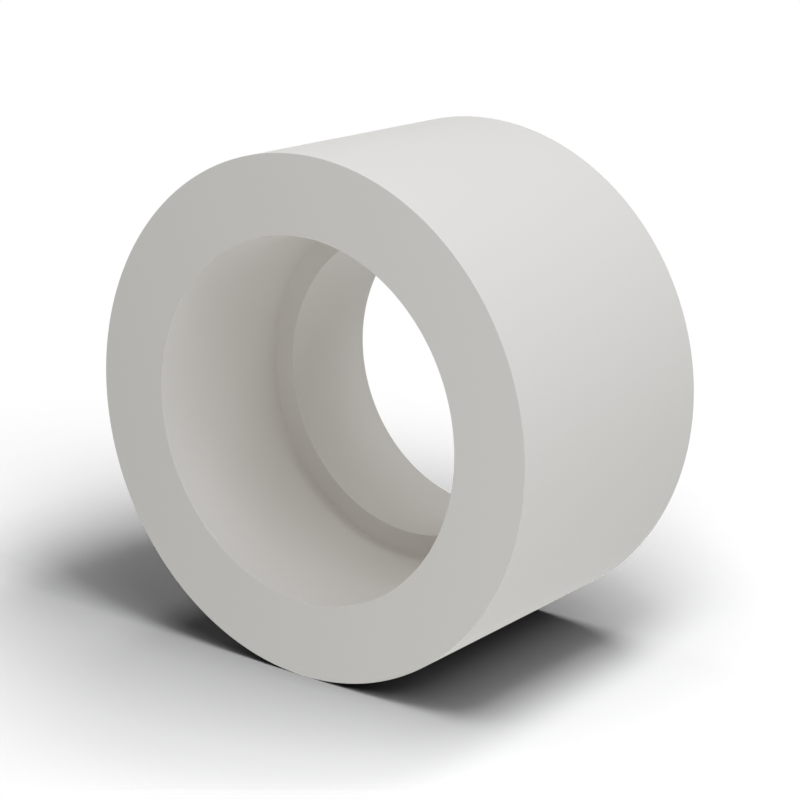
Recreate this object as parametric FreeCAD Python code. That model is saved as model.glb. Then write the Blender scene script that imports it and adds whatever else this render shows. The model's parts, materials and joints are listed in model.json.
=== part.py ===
import FreeCAD, Part
import os
from FreeCAD import Vector

# Round spacer in natural nylon, one piece: a thick sleeve with a through bore, and a wider
# counterbore sunk from one end down to a flat shoulder. Every edge is square and unbroken.
# It stands on its plain end. The origin is the centre of that end, and +Z runs up the bore axis
# and out of the counterbored end. All sizes are in millimetres.

outer_diameter = 10.0
length = 5.7

# The bore is the close hole at the plain end. It clears a 6 mm shaft or screw.
bore_diameter = 6.1

# The counterbore is sunk from the top end, and its floor is the shoulder.
counterbore_diameter = 7.0
counterbore_depth = 3.4

bore_axis = Vector(0, 0, 1)
plain_end_centre = Vector(0, 0, 0)


def half_section():
    """The wall cut through the axis: six square corners, from the bore's lower edge outwards."""
    outer_radius = outer_diameter / 2
    bore_radius = bore_diameter / 2
    counterbore_radius = counterbore_diameter / 2
    shoulder_height = length - counterbore_depth
    corners = [
        Vector(bore_radius, 0, 0),
        Vector(outer_radius, 0, 0),
        Vector(outer_radius, 0, length),
        Vector(counterbore_radius, 0, length),
        Vector(counterbore_radius, 0, shoulder_height),
        Vector(bore_radius, 0, shoulder_height),
    ]
    return Part.Face(Part.makePolygon(corners + corners[:1]))


def spacer():
    """The half section turned once round the bore axis."""
    return half_section().revolve(plain_end_centre, bore_axis, 360)


os.makedirs("parts", exist_ok=True)
spacer().exportStep("parts/spacer.step")
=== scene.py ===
"""A short round spacer in natural nylon, seen as in a catalogue picture of it lying on its side.

Lengths are in metres. Angles are in degrees where they are given, and in radians from there on.
"""
import json
from math import cos, pi, radians, sin

import bpy
import numpy as np
from mathutils import Matrix, Vector


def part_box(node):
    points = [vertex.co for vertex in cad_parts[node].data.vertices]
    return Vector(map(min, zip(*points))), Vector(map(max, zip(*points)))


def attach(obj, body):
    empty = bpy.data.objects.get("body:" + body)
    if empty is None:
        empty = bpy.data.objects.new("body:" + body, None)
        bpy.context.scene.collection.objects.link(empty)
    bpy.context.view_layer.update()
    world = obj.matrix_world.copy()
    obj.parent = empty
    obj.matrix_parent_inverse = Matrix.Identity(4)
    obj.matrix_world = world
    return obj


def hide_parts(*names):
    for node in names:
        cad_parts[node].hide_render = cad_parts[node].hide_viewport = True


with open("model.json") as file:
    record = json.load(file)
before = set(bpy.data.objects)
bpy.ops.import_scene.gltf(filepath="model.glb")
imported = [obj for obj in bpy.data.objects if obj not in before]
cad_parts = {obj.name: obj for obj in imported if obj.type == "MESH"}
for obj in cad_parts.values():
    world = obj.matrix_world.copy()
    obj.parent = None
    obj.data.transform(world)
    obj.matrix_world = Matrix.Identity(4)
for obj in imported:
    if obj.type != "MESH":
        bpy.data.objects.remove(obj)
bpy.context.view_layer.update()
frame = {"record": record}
scene = bpy.context.scene
scene.view_settings.view_transform = "Standard"


# Spacer. One thick sleeve of natural nylon 6/6, moulded in one piece: a through bore, and a wider
# counterbore sunk from the top end down to a flat shoulder. Its rims are square and crisp, with
# only the hair-fine break that deburring leaves.
mounts = {mount["name"]: mount for mount in frame["record"]["mounts"]}
box_low, box_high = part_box("spacer")
spacer_length = box_high.z - box_low.z
outer_radius = box_high.x
bore_radius = mounts["bore"]["dims"]["r_mm"] / 1000
counterbore_radius = mounts["counterbore"]["dims"]["r_mm"] / 1000
shoulder_height = mounts["bore"]["dims"]["length_mm"] / 1000
edge_break = 0.000006
edge_steps = 3
turn_steps = 512

natural_nylon = (0.737, 0.703, 0.657)
clouded_nylon = (0.730, 0.697, 0.651)
nylon_ior = 1.53
nylon_specular = 0.2
cloud_scale = 420
cloud_roughness = (0.5, 0.6)
grain_scale = 9000
grain_height = 0.00001
grain_strength = 0.05


def rounded_outline(corners, radius, steps):
    """A closed outline, anticlockwise, with each square corner replaced by an arc, and its normals.

    With p the corner and u, v the unit vectors to its neighbours, the arc is the points
    p + radius * ((1 - sin a) u + (1 - cos a) v) for a from 0 to a quarter turn. The normals there
    are -(sin a u + cos a v), or the opposite where the corner turns inwards.
    """
    corners = np.asarray(corners, float)
    before = np.roll(corners, 1, axis=0) - corners
    after = np.roll(corners, -1, axis=0) - corners
    u = (before / np.linalg.norm(before, axis=1, keepdims=True))[:, None]
    v = (after / np.linalg.norm(after, axis=1, keepdims=True))[:, None]
    a = np.linspace(0, pi / 2, steps + 1)[None, :, None]
    arcs = corners[:, None] + radius * ((1 - np.sin(a)) * u + (1 - np.cos(a)) * v)
    turn = u[..., 1] * v[..., 0] - u[..., 0] * v[..., 1]
    normals = -np.sign(turn)[..., None] * (np.sin(a) * u + np.cos(a) * v)
    return arcs.reshape(-1, 2), normals.reshape(-1, 2)


def turned_mesh(name, outline, normals, steps):
    """The closed outline (r, z) turned once round Z: the points (r cos t, r sin t, z), t = 0 to 2 pi.

    Both directions close on themselves, so the faces are the quads between neighbouring points.
    The outline's normals are turned the same way, so flat and round faces shade true to the rims.
    """
    t = np.arange(steps) * 2 * pi / steps

    def turned(pairs):
        """Each pair (r, z) at every t, as one array of points."""
        r, z = pairs[:, 0], pairs[:, 1]
        return np.stack([np.outer(np.cos(t), r), np.outer(np.sin(t), r), np.tile(z, (steps, 1))], axis=-1)

    count = len(outline)
    i, j = np.meshgrid(np.arange(steps), np.arange(count), indexing="ij")
    i_next = (i + 1) % steps
    j_next = (j + 1) % count
    quads = np.stack([
        i * count + j,
        i_next * count + j,
        i_next * count + j_next,
        i * count + j_next,
    ], axis=-1)
    mesh = bpy.data.meshes.new(name)
    mesh.from_pydata(turned(outline).reshape(-1, 3), [], quads.reshape(-1, 4))
    mesh.polygons.foreach_set("use_smooth", np.ones(len(mesh.polygons), bool))
    mesh.normals_split_custom_set_from_vertices(turned(normals).reshape(-1, 3))
    return mesh


half_section = [
    (bore_radius, 0),
    (outer_radius, 0),
    (outer_radius, spacer_length),
    (counterbore_radius, spacer_length),
    (counterbore_radius, shoulder_height),
    (bore_radius, shoulder_height),
]
spacer_outline, outline_normals = rounded_outline(half_section, edge_break, edge_steps)
spacer_mesh = turned_mesh("spacer", spacer_outline, outline_normals, turn_steps)
spacer = bpy.data.objects.new("spacer_body", spacer_mesh)
scene.collection.objects.link(spacer)


def nylon_material():
    """Natural nylon: warm off-white, matt, faintly clouded, with the fine grain of the mould."""
    material = bpy.data.materials.new("natural_nylon")
    material.use_nodes = True
    nodes = material.node_tree.nodes
    links = material.node_tree.links
    surface = nodes["Principled BSDF"]
    surface.inputs["IOR"].default_value = nylon_ior
    surface.inputs["Specular IOR Level"].default_value = nylon_specular
    place = nodes.new("ShaderNodeTexCoord")

    clouds = nodes.new("ShaderNodeTexNoise")
    clouds.inputs["Scale"].default_value = cloud_scale
    clouds.inputs["Detail"].default_value = 3
    links.new(place.outputs["Object"], clouds.inputs["Vector"])
    tint = nodes.new("ShaderNodeMix")
    tint.data_type = "RGBA"
    tint.inputs["A"].default_value = (*clouded_nylon, 1)
    tint.inputs["B"].default_value = (*natural_nylon, 1)
    links.new(clouds.outputs["Fac"], tint.inputs["Factor"])
    links.new(tint.outputs["Result"], surface.inputs["Base Color"])

    roughness = nodes.new("ShaderNodeMapRange")
    roughness.inputs["To Min"].default_value = cloud_roughness[0]
    roughness.inputs["To Max"].default_value = cloud_roughness[1]
    links.new(clouds.outputs["Fac"], roughness.inputs["Value"])
    links.new(roughness.outputs["Result"], surface.inputs["Roughness"])

    grain = nodes.new("ShaderNodeTexNoise")
    grain.inputs["Scale"].default_value = grain_scale
    grain.inputs["Detail"].default_value = 2
    links.new(place.outputs["Object"], grain.inputs["Vector"])
    relief = nodes.new("ShaderNodeBump")
    relief.inputs["Strength"].default_value = grain_strength
    relief.inputs["Distance"].default_value = grain_height
    links.new(grain.outputs["Fac"], relief.inputs["Height"])
    links.new(relief.outputs["Normal"], surface.inputs["Normal"])
    return material


spacer_mesh.materials.append(nylon_material())
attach(spacer, "root")
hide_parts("spacer")


# Camera. The spacer stands on its plain end here, while the picture shows it lying on its side,
# so the camera looks down into the counterbore and is rolled until the picture's up is level.
camera_aim = Vector((-0.000193, 0.000040, 0.002827))
camera_distance = 0.043158
camera_azimuth = radians(-20.114)
camera_elevation = radians(49.896)
picture_up_azimuth = radians(45.3)
camera_lens_mm = 100.062
camera_sensor_mm = 36


def compass(azimuth, elevation=0.0):
    """The unit vector (sin a cos e, -cos a cos e, sin e), so azimuth 0 is the front, towards -Y."""
    flat = cos(elevation)
    return Vector((sin(azimuth) * flat, -cos(azimuth) * flat, sin(elevation)))


def facing(back, side, place):
    """The placing whose Z axis is back and whose X axis is side made square to it."""
    back = back.normalized()
    side = (side - side.dot(back) * back).normalized()
    up = back.cross(side)
    return Matrix.Translation(place) @ Matrix((side, up, back)).transposed().to_4x4()


camera_back = compass(camera_azimuth, camera_elevation)
camera_side = compass(picture_up_azimuth).cross(camera_back)
camera_data = bpy.data.cameras.new("camera")
camera_data.lens = camera_lens_mm
camera_data.sensor_width = camera_sensor_mm
camera_data.clip_start = 0.001
camera_data.clip_end = 10
camera = bpy.data.objects.new("camera", camera_data)
scene.collection.objects.link(camera)
camera.matrix_world = facing(camera_back, camera_side, camera_aim + camera_distance * camera_back)
scene.camera = camera


# Floor. The white studio table that the spacer's side lies against in the picture. It is upright
# here, because the spacer stands on its end, and it shows from its front only.
floor_azimuth = radians(45.0)
floor_half_width = 0.06
floor_up = compass(floor_azimuth)
bore_axis = Vector((0, 0, 1))
floor_across = bore_axis.cross(floor_up)
spacer_centre = Vector((0, 0, spacer_length / 2))
floor_foot = spacer_centre - outer_radius * floor_up

# Over the floor the camera looks along studio_away, which its heading turns from straight down
# the bore towards floor_across, and studio_right lies to its right.
camera_heading = radians(37.45)
studio_away = sin(camera_heading) * floor_across - cos(camera_heading) * bore_axis
studio_right = -cos(camera_heading) * floor_across - sin(camera_heading) * bore_axis

floor_albedo = 0.005
lamp_reach = 0.0161
lamp_falloff = 1.28
front_edge = (0.0071, 0.0077)
side_edge = (0.0062, 0.0125)
side_spread = 0.38
far_edge = (0.0081, 0.0216)


def floor_material():
    """Keeps the spacer's deep, sharp shadow near it, and turns to plain white at soft edges.

    The paper is dark and its lamps are strong, so that the shadow takes no light from the room.
    Its colour is floor_albedo (1 + (r / lamp_reach)^2)^lamp_falloff, with r the distance from the
    foot, which makes up for the lamps' fall off. With x and y the distances right and away from
    the foot, it fades as -y passes the front edge, |x| - side_spread y the side edge, and r the
    far edge. Seen from behind, the floor lets the view through.
    """
    material = bpy.data.materials.new("studio_floor")
    material.use_nodes = True
    nodes = material.node_tree.nodes
    links = material.node_tree.links
    nodes.remove(nodes["Principled BSDF"])
    output = nodes["Material Output"]
    place = nodes.new("ShaderNodeTexCoord")

    def measured(operation, vector):
        """Each place on the floor put against the vector: their distance or their dot product."""
        measure = nodes.new("ShaderNodeVectorMath")
        measure.operation = operation
        measure.inputs[1].default_value = vector
        links.new(place.outputs["Object"], measure.inputs[0])
        return measure.outputs["Value"]

    def worked_out(operation, *terms):
        """One step of arithmetic on the terms, each a socket or a number."""
        step = nodes.new("ShaderNodeMath")
        step.operation = operation
        for term, socket in zip(terms, step.inputs):
            if isinstance(term, bpy.types.NodeSocket):
                links.new(term, socket)
            else:
                socket.default_value = term
        return step.outputs["Value"]

    def soft_edge(reach, edge):
        """A smooth step from 0 to 1 as the reach crosses the edge, given as (start, end)."""
        step = nodes.new("ShaderNodeMapRange")
        step.interpolation_type = "SMOOTHSTEP"
        step.inputs["From Min"].default_value, step.inputs["From Max"].default_value = edge
        links.new(reach, step.inputs["Value"])
        return step.outputs["Result"]

    radius = measured("DISTANCE", floor_foot)
    share = worked_out("DIVIDE", radius, lamp_reach)
    gain = worked_out("POWER", worked_out("ADD", worked_out("POWER", share, 2), 1), lamp_falloff)
    paper = nodes.new("ShaderNodeBsdfDiffuse")
    links.new(worked_out("MULTIPLY", gain, floor_albedo), paper.inputs["Color"])

    x = worked_out("SUBTRACT", measured("DOT_PRODUCT", studio_right), floor_foot.dot(studio_right))
    y = worked_out("SUBTRACT", measured("DOT_PRODUCT", studio_away), floor_foot.dot(studio_away))
    sideways = worked_out("SUBTRACT", worked_out("ABSOLUTE", x), worked_out("MULTIPLY", y, side_spread))
    front_fade = soft_edge(worked_out("MULTIPLY", y, -1), front_edge)
    side_fade = soft_edge(sideways, side_edge)
    far_fade = soft_edge(radius, far_edge)
    fade = worked_out("MAXIMUM", worked_out("MAXIMUM", front_fade, side_fade), far_fade)
    white = nodes.new("ShaderNodeEmission")
    faded = nodes.new("ShaderNodeMixShader")
    links.new(fade, faded.inputs["Fac"])
    links.new(paper.outputs["BSDF"], faded.inputs[1])
    links.new(white.outputs["Emission"], faded.inputs[2])

    side = nodes.new("ShaderNodeNewGeometry")
    clear = nodes.new("ShaderNodeBsdfTransparent")
    one_sided = nodes.new("ShaderNodeMixShader")
    links.new(side.outputs["Backfacing"], one_sided.inputs["Fac"])
    links.new(faded.outputs["Shader"], one_sided.inputs[1])
    links.new(clear.outputs["BSDF"], one_sided.inputs[2])
    links.new(one_sided.outputs["Shader"], output.inputs["Surface"])
    return material


reach_across = floor_half_width * np.array([-1, 1, 1, -1])[:, None] * np.array(floor_across)
reach_along = floor_half_width * np.array([-1, -1, 1, 1])[:, None] * np.array(bore_axis)
floor_mesh = bpy.data.meshes.new("floor")
floor_mesh.from_pydata(np.array(floor_foot) + reach_across + reach_along, [], [(0, 1, 2, 3)])
floor_mesh.materials.append(floor_material())
floor = bpy.data.objects.new("floor", floor_mesh)
floor.visible_diffuse = False
floor.visible_glossy = False
floor.visible_transmission = False
floor.visible_shadow = False
scene.collection.objects.link(floor)


# Lamps. Soft boxes hang over the floor. Some light the floor alone, to give the picture's white
# floor and deep shadow, and the others light the spacer alone, at a plain level. Each lamp in the
# two lists has its values in the order that the loop below the list names.
daylight = (0.96, 1.0, 1.11)
lamp_distance = 0.035


def group_of(name, member):
    """A collection that holds one object, for the lamps that light it alone."""
    group = bpy.data.collections.new(name)
    group.objects.link(member)
    return group


def soft_box(name, lit, tilt, turn, distance, width, height, spin, brightness, colour=(1, 1, 1)):
    """A flat lamp aimed at the spacer's centre, in the direction (tilt, turn) from it, in degrees.

    The direction is cos(tilt) up + sin(tilt) (cos(turn) right + sin(turn) away), and spin turns
    the lamp round it. A white matt face at the centre that looks at the lamp shows the
    brightness, so the power is brightness * pi^2 * distance^2.
    """
    tilt, turn, spin = radians(tilt), radians(turn), radians(spin)
    sideways = cos(turn) * studio_right + sin(turn) * studio_away
    direction = cos(tilt) * floor_up + sin(tilt) * sideways
    level_side = floor_up.cross(direction).normalized()
    lamp_side = cos(spin) * level_side + sin(spin) * direction.cross(level_side)
    data = bpy.data.lights.new(name, "AREA")
    data.shape = "RECTANGLE"
    data.size = width
    data.size_y = height
    data.color = colour
    data.energy = brightness * pi ** 2 * distance ** 2
    box = bpy.data.objects.new(name, data)
    scene.collection.objects.link(box)
    box.matrix_world = facing(direction, lamp_side, spacer_centre + distance * direction)
    box.visible_camera = False
    box.visible_glossy = False
    box.light_linking.receiver_collection = lit


lit_floor = group_of("lit_floor", floor)
floor_lamps = [
    ("key", 31, -70, 0.022, 0.008, 0.0085, 3, 0.44),
    ("near", 22, -35, 0.025, 0.0085, 0.0095, 6, 0.306),
    ("right", 25, 15, 0.027, 0.006, 0.0075, 6, 0.22),
    ("front", 55, -74, 0.0245, 0.0115, 0.0105, 5, 0.135),
    ("far", 27, 133, 0.020, 0.0095, 0.006, 9, 0.13),
    ("low", 58, -42, 0.026, 0.002, 0.019, 7, 0.075),
    ("back", 80, 154, 0.015, 0.002, 0.010, -4, 0.051),
]
for name, tilt, turn, distance, width, height, spin, brightness in floor_lamps:
    soft_box(
        "floor_" + name, lit_floor,
        tilt, turn, distance, width, height, spin, brightness / floor_albedo,
    )

lit_spacer = group_of("lit_spacer", spacer)
spacer_lamps = [
    ("top_right", 28, 16, 0.012, 0.015, 0, 0.207),
    ("top_left", 23, -138, 0.019, 0.011, 12, 0.166),
    ("key", 53, -51, 0.006, 0.008, 0, 0.065),
    ("front_high", 48, -73, 0.012, 0.014, 0, 0.181),
    ("front_low", 118, -81, 0.015, 0.017, 0, 0.195),
    ("right_low", 103, -19, 0.012, 0.009, 0, 0.074),
    ("back", 113, 72, 0.032, 0.003, -22, 0.45),
    ("below", 157, -108, 0.010, 0.025, -15, 0.09),
]
for name, tilt, turn, width, height, spin, brightness in spacer_lamps:
    soft_box(
        "spacer_" + name, lit_spacer,
        tilt, turn, lamp_distance, width, height, spin, brightness, daylight,
    )


# Room. It fills the shadows with an even light, a little short of red and blue, while the camera,
# gloss and glass see it plain white.
room_light = (0.394, 0.407, 0.392)
world = bpy.data.worlds.new("studio")
world.use_nodes = True
scene.world = world
nodes = world.node_tree.nodes
links = world.node_tree.links
rays = nodes.new("ShaderNodeLightPath")
seen = nodes.new("ShaderNodeMath")
seen.operation = "MAXIMUM"
links.new(rays.outputs["Is Camera Ray"], seen.inputs[0])
links.new(rays.outputs["Is Glossy Ray"], seen.inputs[1])
seen_through = nodes.new("ShaderNodeMath")
seen_through.operation = "MAXIMUM"
links.new(seen.outputs["Value"], seen_through.inputs[0])
links.new(rays.outputs["Is Transmission Ray"], seen_through.inputs[1])
room_colour = nodes.new("ShaderNodeMix")
room_colour.data_type = "RGBA"
room_colour.inputs["A"].default_value = (*room_light, 1)
room_colour.inputs["B"].default_value = (1, 1, 1, 1)
links.new(seen_through.outputs["Value"], room_colour.inputs["Factor"])
background = nodes["Background"]
background.inputs["Strength"].default_value = 1
links.new(room_colour.outputs["Result"], background.inputs["Color"])
